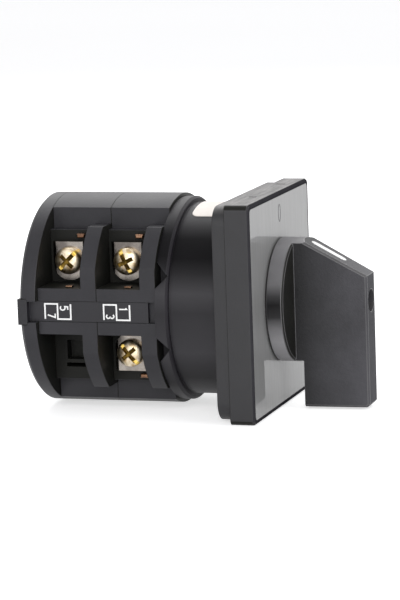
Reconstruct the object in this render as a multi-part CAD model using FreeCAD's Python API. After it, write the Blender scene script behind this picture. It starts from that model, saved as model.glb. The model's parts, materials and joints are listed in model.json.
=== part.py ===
import FreeCAD, Part
import math
import os

# Two-deck rotary cam switch, mm. +Z up, the handle faces -Y, +X is to the right of
# a person facing the handle. The origin is on the switch axis in the panel face,
# the rear face of the mounting frame.

V = FreeCAD.Vector
ROT = FreeCAD.Rotation

# Front plate stack
PLATE = 45.0
PLATE_CORNER = 1.3
BEZEL_FRONT = -8.0
BEZEL_REAR = -2.8
BEZEL_WALL = 1.6
LEGEND_SIDE = 43.0
LEGEND_THICK = 0.8
FRONT_WALL = 2.0
FRAME_SIDE = 44.0
FRAME_CORNER = 4.0
PANEL_HOLE_PITCH = 36.0
PANEL_HOLE_R = 2.15

# Housing of the index mechanism
HOUSING_R = 20.0
HOUSING_REAR = 12.9
HOUSING_WALL = 3.0
COLLAR_R = 21.3
COLLAR_WIDTH = 2.7
NOTCH_DEPTH = 2.5
INDEX_CAVITY_R = 11.6
HUB_R = 5.0
RUNNING = 0.05
GAP = 0.35
LABEL_REAR = 8.6
LABEL_LEFT_DEG = 24.0
LABEL_RIGHT_DEG = 20.0

# Contact decks
BODY_R = 22.0
DECK_LENGTH = 12.8
FIN_THICK = 3.4
CORE_X = 11.2
FIN_X = 20.3
FIN_Z = 16.8
BLOCK_X = 9.0
BLOCK_Z = 15.8
WALL_Z = 4.8
CONTACT_Y = FIN_THICK + (DECK_LENGTH - FIN_THICK) / 2
CAM_BORE_R = 8.6
CAM_R = 8.0
TRAVEL = 2.0
THROW_DEG = 60.0
REAR_THICK = 3.6
DECK_FRONTS = (HOUSING_REAR, HOUSING_REAR + DECK_LENGTH)
REAR_FRONT = HOUSING_REAR + 2 * DECK_LENGTH
REAR_END = REAR_FRONT + REAR_THICK

# Contact set, heights above the axis
TONGUE_Z = 12.4
TONGUE_THICK = 0.8
TIP_HALF = 1.2
FIXED_TIP = 0.4
MOVING_TIP = 0.4
OPEN_GAP = TRAVEL + 0.1
BRIDGE_HALF = 7.0
BRIDGE_Z = TONGUE_Z + TONGUE_THICK + FIXED_TIP + OPEN_GAP + MOVING_TIP
BRIDGE_THICK = 0.8
SPRING_TOP = 20.4
TIP_X = 5.6

# Terminals
TERMINAL_Z = 9.6
PLATE_THICK = 0.8
SADDLE_THICK = 1.0
HEAD_R = 2.85
HEAD_HEIGHT = 2.2
SCREW_R = 1.5
SLOT_DEG = {"1_2": 25, "3_4": 40, "5_6": -45}

# Label strips in the side grooves
STRIP_X = 19.2
STRIP_HALF = 2.15
STRIP_TAB_HALF = 2.7
STRIP_REACH = 1.9

# Fasteners
BOLT_X = 14.2
BOLT_R = 1.5
BOLT_HOLE_R = 1.65
HIDDEN_SIDES = 12

# Knob, distances measured forward from the bezel front
DISC_R = 12.9
DISC_BACK = 0.3
DISC_FRONT = 3.8
GRIP_BACK = 5.4
GRIP_FRONT = 19.1
GRIP_HALF_BACK = 4.0
GRIP_HALF_FRONT = 3.2
SLOPE_TOP_Z = 12.9
SLOPE_FRONT_Z = 5.5
TAIL_Z = -22.0
SHAFT_HALF = 2.5


def box(x1, x2, y1, y2, z1, z2):
    return Part.makeBox(x2 - x1, y2 - y1, z2 - z1, V(x1, y1, z1))


def rod_y(r, y1, y2, x=0.0, z=0.0):
    return Part.makeCylinder(r, y2 - y1, V(x, y1, z), V(0, 1, 0))


def rod_x(r, x1, x2, y=0.0, z=0.0):
    return Part.makeCylinder(r, x2 - x1, V(x1, y, z), V(1, 0, 0))


def rod_z(r, z1, z2, x=0.0, y=0.0):
    return Part.makeCylinder(r, z2 - z1, V(x, y, z1), V(0, 0, 1))


def many_sided(r, p, q, sides=HIDDEN_SIDES):
    """A straight many-sided bar from p to q with its corners at radius r."""
    points = []
    for i in range(sides):
        a = 2 * math.pi * (i + 0.5) / sides
        points.append((r * math.cos(a), r * math.sin(a), 0))
    along = V(*q) - V(*p)
    bar = prism(points, (0, 0, along.Length))
    bar.Placement = FreeCAD.Placement(V(*p), ROT(V(0, 0, 1), along))
    return bar


def many_sided_hole(r, p, q, sides=HIDDEN_SIDES):
    """The same with its flats at radius r, to clear a round or many-sided bar."""
    return many_sided(r / math.cos(math.pi / sides), p, q, sides)


def prism(points, direction):
    wire = Part.makePolygon([V(*p) for p in points] + [V(*points[0])])
    return Part.Face(wire).extrude(V(*direction))


def polar(r, degrees, y):
    """A point at a clockwise angle from the top, seen from the front."""
    a = math.radians(degrees)
    return (r * math.sin(a), y, r * math.cos(a))


def sector(r1, r2, a1, a2, y1, y2):
    """A ring sector between two clockwise angles."""
    steps = max(2, int(abs(a2 - a1) / 6) + 1)
    angles = [a1 + (a2 - a1) * i / steps for i in range(steps + 1)]
    points = [polar(r2, a, y1) for a in angles]
    points += [polar(r1, a, y1) for a in reversed(angles)]
    return prism(points, (0, y2 - y1, 0))


def turned(shape, degrees):
    """A copy turned clockwise about the switch axis, seen from the front."""
    out = shape.copy()
    out.rotate(V(0, 0, 0), V(0, 1, 0), degrees)
    return out


def moved(shape, x=0.0, y=0.0, z=0.0):
    out = shape.copy()
    out.translate(V(x, y, z))
    return out


def join(shapes):
    out = shapes[0]
    for shape in shapes[1:]:
        out = out.fuse(shape)
    return out.removeSplitter()


def minus(shape, tools):
    for tool in tools:
        shape = shape.cut(tool)
    return shape


def square_plate(side, corner, y1, y2):
    h = side / 2
    plate = box(-h, h, y1, y2, -h, h)
    edges = [e for e in plate.Edges if abs(e.tangentAt(e.FirstParameter).y) > 0.9]
    return plate.makeFillet(corner, edges)


def hex_prism(across, y1, y2, x, z):
    r = across / math.sqrt(3)
    points = []
    for i in range(6):
        a = math.radians(60 * i)
        points.append((x + r * math.cos(a), y1, z + r * math.sin(a)))
    return prism(points, (0, y2 - y1, 0))


def shank(r, length):
    """A plain stand-in for a screw's thread, hanging down from Z=0."""
    return many_sided(r, (0, 0, -length), (0, 0, 0))


def pan_head(r, height):
    """A pan head standing on Z=0 with its rim bevelled."""
    head = Part.makeCylinder(r, height)
    top = [e for e in head.Edges if abs(e.CenterOfMass.z - height) < 1e-6]
    return head.makeChamfer(height * 0.3, top)


def cross_recess(r, height, depth):
    arm = r * 0.62
    half = r * 0.13
    return [
        box(-arm, arm, -half, half, height - depth, height + 1),
        box(-half, half, -arm, arm, height - depth, height + 1),
    ]


def slot_recess(r, height, depth):
    half = r * 0.12
    return box(-r - 1, r + 1, -half, half, height - depth, height + 1)


def coil_station(radius, wire, pitch, turn):
    """The four corners of the wire's square section after a number of turns."""
    a = 2 * math.pi * turn
    out = V(math.cos(a), math.sin(a), 0)
    z = pitch * turn
    inner = out * (radius - wire)
    outer = out * radius
    return [
        V(inner.x, inner.y, z),
        V(outer.x, outer.y, z),
        V(outer.x, outer.y, z + wire),
        V(inner.x, inner.y, z + wire),
    ]


def flat_face(points):
    return Part.Face(Part.makePolygon(points + [points[0]]))


def coil(radius, wire, length, turns, steps=8):
    """A compression spring along Z from Z=0, its square wire in straight steps."""
    pitch = (length - wire) / turns
    count = turns * steps
    stations = [coil_station(radius, wire, pitch, i / steps) for i in range(count + 1)]
    faces = [flat_face(stations[0]), flat_face(stations[-1][::-1])]
    for near, far in zip(stations, stations[1:]):
        for i in range(4):
            j = (i + 1) % 4
            faces.append(flat_face([near[i], near[j], far[j]]))
            faces.append(flat_face([near[i], far[j], far[i]]))
    spring = Part.Solid(Part.Shell(faces))
    return spring


# Knob and shaft

def slope_z(d):
    run = (d - GRIP_BACK) / (GRIP_FRONT - GRIP_BACK)
    return SLOPE_TOP_Z + (SLOPE_FRONT_Z - SLOPE_TOP_Z) * run


def front(d):
    return BEZEL_FRONT - d


def grip_blank():
    side = [
        (-20, front(DISC_FRONT - 0.5), DISC_R),
        (-20, front(GRIP_BACK), SLOPE_TOP_Z),
        (-20, front(GRIP_FRONT), SLOPE_FRONT_Z),
        (-20, front(GRIP_FRONT), TAIL_Z + 0.6),
        (-20, front(GRIP_FRONT - 0.6), TAIL_Z),
        (-20, front(GRIP_BACK), TAIL_Z),
        (-20, front(GRIP_BACK), -DISC_R),
        (-20, front(DISC_FRONT - 0.5), -DISC_R),
    ]
    top = [
        (-GRIP_HALF_BACK, front(DISC_FRONT - 0.5), -30),
        (GRIP_HALF_BACK, front(DISC_FRONT - 0.5), -30),
        (GRIP_HALF_FRONT, front(GRIP_FRONT), -30),
        (-GRIP_HALF_FRONT, front(GRIP_FRONT), -30),
    ]
    blank = prism(side, (40, 0, 0)).common(prism(top, (0, 0, 60)))
    rounded_end = rod_y(DISC_R, front(GRIP_FRONT + 1), front(DISC_FRONT - 1))
    tail_zone = box(-20, 20, front(GRIP_FRONT + 1), front(GRIP_BACK), -30, 0)
    hub_zone = rounded_end.fuse(tail_zone)
    return blank.common(hub_zone)


def on_slope(shape):
    """Puts a shape drawn on the XY plane at Z=0 onto the sloping top face."""
    rise = SLOPE_TOP_Z - SLOPE_FRONT_Z
    angle = math.degrees(math.atan2(rise, GRIP_FRONT - GRIP_BACK))
    out = shape.copy()
    out.rotate(V(0, 0, 0), V(1, 0, 0), angle)
    out.translate(V(0, front(GRIP_BACK), SLOPE_TOP_Z))
    return out


def make_pointer_line():
    start = 2.6
    end = 8.8
    half = 0.95
    bar = box(-half, half, -end, -start, -0.5, 0.02)
    ends = [rod_z(half, -0.5, 0.02, 0, -end), rod_z(half, -0.5, 0.02, 0, -start)]
    return on_slope(join([bar] + ends))


def make_knob():
    disc = rod_y(DISC_R, front(DISC_FRONT), front(DISC_BACK))
    rim = [e for e in disc.Edges if abs(e.CenterOfMass.y - front(DISC_FRONT)) < 0.01]
    disc = disc.makeChamfer(0.4, rim)
    hub = rod_y(HUB_R, front(DISC_BACK + 0.5), -4.4)
    knob = join([disc, grip_blank(), hub])
    outer = []
    for e in knob.Edges:
        c = e.CenterOfMass
        forward = c.y < front(GRIP_BACK + 0.3)
        if forward and abs(c.x) > 2.9:
            outer.append(e)
    knob = knob.makeChamfer(0.4, outer)
    square = box(-SHAFT_HALF, SHAFT_HALF, front(9.5), 0, -SHAFT_HALF, SHAFT_HALF)
    screw_hole = many_sided_hole(1.5, (0, front(GRIP_FRONT), 0), (0, front(9), 0))
    counterbore = rod_y(2.35, front(GRIP_FRONT + 1), front(12.5))
    return minus(knob, [square, screw_hole, counterbore, make_pointer_line()])


def make_handle_screw():
    head = rod_y(2.2, front(14.3), front(12.5))
    thread = many_sided(1.5, (0, front(12.6), 0), (0, front(4.5), 0))
    screw = join([head, thread])
    y = front(14.3)
    slot = box(-2.3, 2.3, y, y + 0.8, -0.3, 0.3)
    cross = box(-0.3, 0.3, y, y + 1.1, -1.3, 1.3)
    return minus(screw, [slot, cross])


def make_shaft():
    h = SHAFT_HALF
    bar = box(-h, h, front(9.5), REAR_FRONT - 0.4, -h, h)
    end = rod_y(2.4, REAR_FRONT - 0.5, REAR_FRONT + 2.2)
    shaft = join([bar, end])
    return shaft.cut(many_sided_hole(1.5, (0, front(10), 0), (0, front(4.5), 0)))


def shaft_hole(y1, y2):
    h = SHAFT_HALF
    return box(-h, h, y1, y2, -h, h)


# Front plate stack

def make_bezel():
    bezel = square_plate(PLATE, PLATE_CORNER, BEZEL_FRONT, BEZEL_REAR)
    rim = [e for e in bezel.Edges if abs(e.CenterOfMass.y - BEZEL_FRONT) < 0.01]
    bezel = bezel.makeChamfer(0.4, rim)
    seat = square_plate(LEGEND_SIDE, 0.9, BEZEL_FRONT - 1, BEZEL_FRONT + LEGEND_THICK)
    pocket_front = BEZEL_FRONT + LEGEND_THICK + FRONT_WALL
    pocket = square_plate(PLATE - 2 * BEZEL_WALL, 1.0, pocket_front, BEZEL_REAR + 1)
    hole = rod_y(HUB_R + RUNNING, BEZEL_FRONT, pocket_front + 1)
    tools = [seat, pocket, hole]
    half = PANEL_HOLE_PITCH / 2
    for x in (-half, half):
        for z in (-half, half):
            tools.append(box(x - 2.8, x + 2.8, pocket_front - 1.3, pocket_front + 1, z - 2.8, z + 2.8))
    for side in (-1, 1):
        z = side * PLATE / 2
        for x, length in ((-9.0, 1.6), (11.6, 2.2)):
            tools.append(box(x - 0.3, x + 0.3, -5.0 - length / 2, -5.0 + length / 2, z - 0.8, z + 0.8))
    return minus(bezel, tools)


def make_legend_plate():
    y = BEZEL_FRONT
    plate = square_plate(LEGEND_SIDE, 0.9, y, y + LEGEND_THICK)
    return plate.cut(rod_y(HUB_R + 0.4, y - 1, y + 2))


def frame_screw_spots():
    spot = 10.9
    return [(x, z) for x in (-spot, spot) for z in (-spot, spot)]


def make_mounting_frame():
    frame = square_plate(FRAME_SIDE, FRAME_CORNER, BEZEL_REAR, 0)
    half = PANEL_HOLE_PITCH / 2
    tools = [many_sided_hole(7.0, (0, -4, 0), (0, 1, 0))]
    for x in (-half, half):
        for z in (-half, half):
            tools.append(rod_y(PANEL_HOLE_R, -4, 1, x, z))
    for x, z in frame_screw_spots():
        tools.append(many_sided_hole(1.6, (x, -4, z), (x, 1, z)))
    return minus(frame, tools)


def make_frame_screws():
    screws = []
    for x, z in frame_screw_spots():
        screw = join([Part.makeCylinder(2.6, 1.8), shank(1.5, 8.3)])
        screw.rotate(V(0, 0, 0), V(1, 0, 0), 90)
        screws.append(moved(screw, x, BEZEL_REAR, z))
    return Part.makeCompound(screws)


# Index mechanism

def notch_profile(depth):
    """Outline radii of the index wheel: two pairs of valleys a throw apart."""
    wheel_r = 8.0
    points = []
    for i in range(60):
        a = i * 6.0
        dip = 0.0
        for valley in (0, -THROW_DEG, 180, 180 - THROW_DEG):
            away = abs((a - valley + 180) % 360 - 180)
            if away < 16:
                dip = max(dip, depth * 0.5 * (1 + math.cos(math.radians(away * 180 / 16))))
        points.append(polar(wheel_r - dip, a, 0))
    return points


def make_index_wheel():
    wheel = moved(prism(notch_profile(1.1), (0, 5.0, 0)), y=3.35)
    bearing = rod_y(HUB_R, 0.2, 3.5)
    collar = many_sided(5.6, (0, 8.2, 0), (0, HOUSING_REAR - GAP, 0), 16)
    stop = sector(5.0, 10.6, 78, 102, 8.7, HOUSING_REAR - GAP)
    wheel = join([wheel, bearing, collar, stop])
    return wheel.cut(shaft_hole(0, HOUSING_REAR))


def plunger_bores():
    bores = []
    for side in (0, 180):
        bores.append(turned(box(-2.25, 2.25, 3.55, 8.05, 8.0, 18.2), side))
    return bores


def make_index_plungers():
    outline = [
        (-2.2, 3.6, 13.8),
        (-2.2, 3.6, 9.9),
        (-0.7, 3.6, 8.35),
        (0.7, 3.6, 8.35),
        (2.2, 3.6, 9.9),
        (2.2, 3.6, 13.8),
    ]
    plunger = prism(outline, (0, 4.4, 0))
    return Part.makeCompound([plunger, turned(plunger, 180)])


def make_index_springs():
    spring = moved(coil(2.1, 0.5, 4.4, 4), y=5.8, z=13.8)
    return Part.makeCompound([spring, turned(spring, 180)])


def housing_notches():
    tools = []
    for side in (-1, 1):
        x1, x2 = sorted((side * 16.5, side * 23.0))
        for sign in (-1, 1):
            points = [
                (x1, HOUSING_REAR + 0.1, sign * 5.0),
                (x1, HOUSING_REAR - NOTCH_DEPTH, sign * 7.6),
                (x1, HOUSING_REAR + 0.1, sign * 10.4),
            ]
            tools.append(prism(points, (x2 - x1, 0, 0)))
    return tools


def make_front_housing():
    barrel = rod_y(HOUSING_R, 0, HOUSING_REAR)
    collar = rod_y(COLLAR_R, HOUSING_REAR - COLLAR_WIDTH, HOUSING_REAR)
    front_rim = [e for e in collar.Edges if abs(e.CenterOfMass.y - HOUSING_REAR + COLLAR_WIDTH) < 0.01]
    collar = collar.makeChamfer(0.5, front_rim)
    housing = join([barrel, collar])
    tools = [
        many_sided_hole(INDEX_CAVITY_R, (0, HOUSING_WALL, 0), (0, HOUSING_REAR + 1, 0), 24),
        rod_y(HUB_R + RUNNING, -1, HOUSING_WALL + 1),
    ]
    tools += housing_notches()
    housing = minus(housing, tools)
    stops = [
        sector(8.5, INDEX_CAVITY_R + 0.5, 62, 75, 8.7, HOUSING_REAR),
        sector(8.5, INDEX_CAVITY_R + 0.5, 165, 178, 8.7, HOUSING_REAR),
    ]
    housing = join([housing] + stops)
    tools = plunger_bores()
    for x in (-BOLT_X, BOLT_X):
        tools.append(many_sided_hole(BOLT_HOLE_R, (x, 1.8, 0), (x, HOUSING_REAR + 1, 0)))
        tools.append(hex_prism(5.5, 3.0, 5.4, x, 0))
    for x, z in frame_screw_spots():
        tools.append(many_sided_hole(1.5, (x, -1, z), (x, 5.5, z)))
    return minus(housing, tools)


def make_id_label():
    """A thin blank label over the top of the barrel, with rounded corners."""
    sheet = rod_y(HOUSING_R + 0.15, 0.5, LABEL_REAR).cut(rod_y(HOUSING_R, 0, LABEL_REAR + 1))
    left = -HOUSING_R * math.sin(math.radians(LABEL_LEFT_DEG))
    right = HOUSING_R * math.sin(math.radians(LABEL_RIGHT_DEG))
    outline = box(left, right, 0.5, LABEL_REAR, 10, 22)
    corners = [e for e in outline.Edges if abs(e.CenterOfMass.z - 16) < 0.01]
    return sheet.common(outline.makeFillet(1.3, corners))


# Contact decks

def deck_blank():
    whole = rod_y(BODY_R, 0, DECK_LENGTH)
    zone = [
        box(-FIN_X, FIN_X, 0, FIN_THICK, -FIN_Z, FIN_Z),
        box(-CORE_X, CORE_X, 0, DECK_LENGTH, -BLOCK_Z, BLOCK_Z),
        box(-BLOCK_X, BLOCK_X, 0, DECK_LENGTH, -BODY_R, BODY_R),
        box(-FIN_X, FIN_X, 0, DECK_LENGTH, -WALL_Z, WALL_Z),
    ]
    return whole.common(join(zone))


def pole_cavity():
    """Chamber, guide, spring pocket and tongue slots of the pole above the axis."""
    y = CONTACT_Y
    return [
        box(-2.2, 2.2, y - 2.2, y + 2.2, 7.0, TONGUE_Z + 1.0),
        box(-7.4, 7.4, y - 2.6, y + 2.6, TONGUE_Z + TONGUE_THICK, BRIDGE_Z + BRIDGE_THICK + 0.4),
        box(-2.6, 2.6, y - 2.6, y + 2.6, BRIDGE_Z, SPRING_TOP),
        box(-CORE_X - 1, -4.3, y - 2.25, y + 2.25, TONGUE_Z, TONGUE_Z + TONGUE_THICK + 0.01),
        box(4.3, CORE_X + 1, y - 2.25, y + 2.25, TONGUE_Z, TONGUE_Z + TONGUE_THICK + 0.01),
    ]


def screw_pockets():
    tools = []
    for side in (-1, 1):
        for up in (-1, 1):
            x1, x2 = sorted((side * 8.6, side * (CORE_X + 1)))
            z = up * TERMINAL_Z
            tools.append(box(x1, x2, CONTACT_Y - 2.0, CONTACT_Y + 2.0, z - 2.0, z + 2.0))
    return tools


def make_deck(poles):
    deck = deck_blank()
    tools = [
        many_sided_hole(CAM_BORE_R, (0, 2.0, 0), (0, DECK_LENGTH + 1, 0), 30),
        many_sided_hole(4.2, (0, -1, 0), (0, 3, 0)),
    ]
    for up in poles:
        tools += [turned(t, 0 if up > 0 else 180) for t in pole_cavity()]
    tools += screw_pockets()
    for x in (-BOLT_X, BOLT_X):
        tools.append(many_sided_hole(BOLT_HOLE_R, (x, -1, 0), (x, DECK_LENGTH + 1, 0)))
    for side in (-1, 1):
        x1, x2 = sorted((side * STRIP_X, side * BODY_R))
        tools.append(box(x1, x2, -1, DECK_LENGTH + 1, -STRIP_HALF, STRIP_HALF))
    return minus(deck, tools)


def make_rear_cover():
    plate = rod_y(BODY_R, 0, REAR_THICK)
    rim = [e for e in plate.Edges if abs(e.CenterOfMass.y - REAR_THICK) < 0.01]
    plate = plate.makeChamfer(0.8, rim)
    tools = [rod_y(2.4 + RUNNING, -1, 2.6)]
    for x in (-BOLT_X, BOLT_X):
        tools.append(many_sided_hole(BOLT_HOLE_R, (x, -1, 0), (x, 5, 0)))
        tools.append(rod_y(3.0, 2.2, 5, x, 0))
    for side in (-1, 1):
        x1, x2 = sorted((side * STRIP_X, side * (BODY_R + 1)))
        tools.append(box(x1, x2, -1, 5, -STRIP_HALF, STRIP_HALF))
        tools.append(box(x1, x2, STRIP_REACH, 5, -STRIP_TAB_HALF, STRIP_TAB_HALF))
    return moved(minus(plate, tools), y=REAR_FRONT)


def make_label_strip(side):
    y1 = DECK_FRONTS[0] + 1.7
    x1, x2 = sorted((side * STRIP_X, side * (FIN_X - 0.1)))
    tab_start = REAR_FRONT + STRIP_REACH
    strip = box(x1, x2, y1, tab_start, -STRIP_HALF, STRIP_HALF)
    t1, t2 = sorted((side * STRIP_X, side * (BODY_R - 0.25)))
    tab = box(t1, t2, tab_start, REAR_END + 0.4, -STRIP_TAB_HALF, STRIP_TAB_HALF)
    return join([strip, tab])


def cam_outline(two_poles):
    """Radius falls by the travel over the throw, once for each pole."""
    points = []
    for i in range(60):
        a = i * 6.0
        r = CAM_R
        starts = (0, 180) if two_poles else (0,)
        for start in starts:
            back = (start - a) % 360
            if back <= THROW_DEG + 6:
                r = CAM_R - TRAVEL * back / THROW_DEG
            elif back <= THROW_DEG + 36:
                r = CAM_R - TRAVEL * (1 + 6 / THROW_DEG) * (1 - (back - THROW_DEG - 6) / 30)
        points.append(polar(r, a, 0))
    return points


def make_cam(two_poles):
    lobe = moved(prism(cam_outline(two_poles), (0, 4.4, 0)), y=CONTACT_Y - 2.2)
    hub = many_sided(4.6, (0, 3.2, 0), (0, DECK_LENGTH - GAP, 0), 16)
    return join([lobe, hub]).cut(shaft_hole(-1, DECK_LENGTH + 1))


# Contacts of one pole above the axis, at Y = 0 in the contact plane

def make_plunger():
    foot = rod_y(1.2, -1.9, 1.9, 0, CAM_R + GAP + 1.2)
    stem = box(-1.9, 1.9, -1.9, 1.9, CAM_R + GAP + 1.2, BRIDGE_Z)
    neck = box(-1.2, 1.2, -1.9, 1.9, CAM_R + GAP + 1.2, CAM_R + GAP + 2)
    return join([foot, neck, stem])


def make_bridge():
    bar = box(-BRIDGE_HALF, BRIDGE_HALF, -2.2, 2.2, BRIDGE_Z, BRIDGE_Z + BRIDGE_THICK)
    corners = [e for e in bar.Edges if abs(e.tangentAt(0).z) > 0.9]
    bar = bar.makeChamfer(0.8, corners)
    tips = []
    for x in (-TIP_X, TIP_X):
        z = BRIDGE_Z - MOVING_TIP
        tips.append(box(x - TIP_HALF, x + TIP_HALF, -TIP_HALF, TIP_HALF, z, BRIDGE_Z))
    return join([bar] + tips)


def make_contact_spring():
    z = BRIDGE_Z + BRIDGE_THICK
    return moved(coil(2.5, 0.5, SPRING_TOP - z, 3), z=z)


def screw_bore(x1, x2):
    return many_sided_hole(SCREW_R, (x1, 0, TERMINAL_Z), (x2, 0, TERMINAL_Z))


def make_terminal(side):
    """Copper plate behind the screw, with the tongue that carries the fixed tip."""
    x1, x2 = sorted((side * CORE_X, side * (CORE_X + PLATE_THICK)))
    plate = box(x1, x2, -3.0, 3.0, 6.7, 13.3)
    t1, t2 = sorted((side * 4.3, side * (CORE_X + 0.2)))
    tongue = box(t1, t2, -2.25, 2.25, TONGUE_Z, TONGUE_Z + TONGUE_THICK)
    tip_z = TONGUE_Z + TONGUE_THICK
    x = side * TIP_X
    tip = box(x - TIP_HALF, x + TIP_HALF, -TIP_HALF, TIP_HALF, tip_z, tip_z + FIXED_TIP)
    terminal = join([plate, tongue, tip])
    ends = (side * (CORE_X - 1), side * (CORE_X + PLATE_THICK + 1))
    return terminal.cut(screw_bore(*ends))


def make_pips(side):
    """Two copper ends of the terminal: one on the core, one on the floor beside it."""
    x1, x2 = sorted((side * CORE_X, side * (CORE_X + 1.4)))
    upper = box(x1, x2, -3.3, -1.5, 14.15, 15.05)
    ends = [e for e in upper.Edges if abs(e.CenterOfMass.x) > CORE_X + 1.3]
    x1, x2 = sorted((side * 17.3, side * 18.7))
    lower = box(x1, x2, -2.3, -0.9, WALL_Z, WALL_Z + 0.35)
    return [upper.makeChamfer(0.25, ends), lower]


def make_saddle(side):
    """Arched steel clamp under the head, its two long edges bent to the plate."""
    x0 = CORE_X + PLATE_THICK
    half = 3.65
    outside = [(0.0, -half), (0.55, -half), (SADDLE_THICK, -2.95), (SADDLE_THICK, 2.95), (0.55, half)]
    inside = [(0.0, half), (0.0, 2.9), (0.4, 2.3), (0.4, -2.3), (0.0, -2.9)]
    points = [(side * (x0 + px), py, TERMINAL_Z - 5) for px, py in outside + inside]
    x1, x2 = sorted((side * (x0 - 1), side * (x0 + 3)))
    ring_z = TERMINAL_Z - 0.6
    outline = join([
        rod_x(half, x1, x2, 0, ring_z),
        box(x1, x2, -half, half, ring_z, TERMINAL_Z + 3.9),
    ])
    saddle = prism(points, (0, 0, 10)).common(outline)
    return saddle.cut(screw_bore(x1, x2))


def make_terminal_screw(side, slot_angle):
    head = pan_head(HEAD_R, HEAD_HEIGHT)
    head = minus(head, cross_recess(HEAD_R, HEAD_HEIGHT, 1.3) + [slot_recess(HEAD_R, HEAD_HEIGHT, 0.8)])
    head.rotate(V(0, 0, 0), V(0, 0, 1), slot_angle)
    screw = join([head, shank(SCREW_R, 4.2)])
    screw.rotate(V(0, 0, 0), V(0, 1, 0), 90 * side)
    return moved(screw, side * (CORE_X + PLATE_THICK + SADDLE_THICK), 0, TERMINAL_Z)


def make_tie_bolts():
    bolts = []
    for x in (-BOLT_X, BOLT_X):
        head = pan_head(2.7, 1.2)
        head = minus(head, cross_recess(2.7, 1.2, 0.8))
        length = REAR_FRONT
        bolt = join([head, shank(BOLT_R, length)])
        bolt.rotate(V(0, 0, 0), V(1, 0, 0), -90)
        bolts.append(moved(bolt, x, REAR_FRONT + 2.2, 0))
    return Part.makeCompound(bolts)


def make_tie_nuts():
    nuts = []
    for x in (-BOLT_X, BOLT_X):
        nut = hex_prism(5.5, 3.0, 5.4, x, 0)
        nuts.append(nut.cut(many_sided_hole(BOLT_R, (x, 2, 0), (x, 6, 0))))
    return Part.makeCompound(nuts)


# Poles: name, deck index, +1 above the axis or -1 below it
POLES = (("1_2", 0, 1), ("3_4", 0, -1), ("5_6", 1, 1))


def place_pole(shape, deck, up):
    out = shape if up > 0 else turned(shape, 180)
    return moved(out, y=DECK_FRONTS[deck] + CONTACT_Y)


def write_all(parts):
    os.makedirs("parts", exist_ok=True)
    for name, shape in parts.items():
        shape.exportStep("parts/" + name + ".step")


def build():
    parts = {
        "knob": make_knob(),
        "pointer_line": make_pointer_line(),
        "handle_screw": make_handle_screw(),
        "shaft": make_shaft(),
        "bezel": make_bezel(),
        "legend_plate": make_legend_plate(),
        "mounting_frame": make_mounting_frame(),
        "frame_screws": make_frame_screws(),
        "front_housing": make_front_housing(),
        "id_label": make_id_label(),
        "index_wheel": make_index_wheel(),
        "index_plungers": make_index_plungers(),
        "index_springs": make_index_springs(),
        "deck_front": moved(make_deck((1, -1)), y=DECK_FRONTS[0]),
        "deck_rear": moved(make_deck((1, -1)), y=DECK_FRONTS[1]),
        "rear_cover": make_rear_cover(),
        "cam_front": moved(make_cam(True), y=DECK_FRONTS[0]),
        "cam_rear": moved(make_cam(False), y=DECK_FRONTS[1]),
        "label_strip_left": make_label_strip(-1),
        "label_strip_right": make_label_strip(1),
        "tie_bolts": make_tie_bolts(),
        "tie_nuts": make_tie_nuts(),
    }
    for name, deck, up in POLES:
        parts["plunger_" + name] = place_pole(make_plunger(), deck, up)
        parts["bridge_" + name] = place_pole(make_bridge(), deck, up)
        parts["contact_spring_" + name] = place_pole(make_contact_spring(), deck, up)
        for number, side in zip(name.split("_"), (-1, 1)):
            seen = side if up > 0 else -side
            parts["terminal_" + number] = place_pole(make_terminal(seen), deck, up)
            pips = Part.makeCompound(make_pips(seen))
            parts["terminal_pips_" + number] = place_pole(pips, deck, up)
            parts["saddle_" + number] = place_pole(make_saddle(seen), deck, up)
            screw = make_terminal_screw(seen, SLOT_DEG[name])
            parts["terminal_screw_" + number] = place_pole(screw, deck, up)
    write_all(parts)


build()
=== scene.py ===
import bpy
import bmesh
import json
import math
from mathutils import Matrix, Vector


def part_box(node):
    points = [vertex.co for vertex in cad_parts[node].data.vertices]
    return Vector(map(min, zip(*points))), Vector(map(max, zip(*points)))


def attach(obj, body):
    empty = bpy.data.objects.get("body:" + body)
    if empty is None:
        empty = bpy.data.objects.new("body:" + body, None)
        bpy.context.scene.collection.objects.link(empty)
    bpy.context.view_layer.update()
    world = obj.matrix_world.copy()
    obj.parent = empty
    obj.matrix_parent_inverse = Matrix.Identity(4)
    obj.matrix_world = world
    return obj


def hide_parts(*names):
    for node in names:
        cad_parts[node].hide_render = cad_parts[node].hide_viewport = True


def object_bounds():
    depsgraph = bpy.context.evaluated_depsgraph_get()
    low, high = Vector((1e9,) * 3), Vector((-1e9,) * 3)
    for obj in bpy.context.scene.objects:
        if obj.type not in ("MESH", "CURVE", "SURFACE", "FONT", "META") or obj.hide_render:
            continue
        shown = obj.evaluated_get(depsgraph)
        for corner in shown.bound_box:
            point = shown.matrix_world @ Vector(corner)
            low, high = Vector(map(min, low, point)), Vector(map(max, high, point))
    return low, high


# A two-deck rotary cam switch on a pale floor. Metres, +Z up, the handle faces -Y.

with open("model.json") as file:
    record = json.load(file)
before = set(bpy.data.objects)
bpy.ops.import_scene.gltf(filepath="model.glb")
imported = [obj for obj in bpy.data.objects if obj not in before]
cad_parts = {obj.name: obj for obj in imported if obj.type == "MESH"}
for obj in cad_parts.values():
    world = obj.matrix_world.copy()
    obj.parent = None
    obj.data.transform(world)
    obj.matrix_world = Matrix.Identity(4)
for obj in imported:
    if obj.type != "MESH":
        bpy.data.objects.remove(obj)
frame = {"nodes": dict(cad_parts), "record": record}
CAD_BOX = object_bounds()

MM = 0.001

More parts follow.
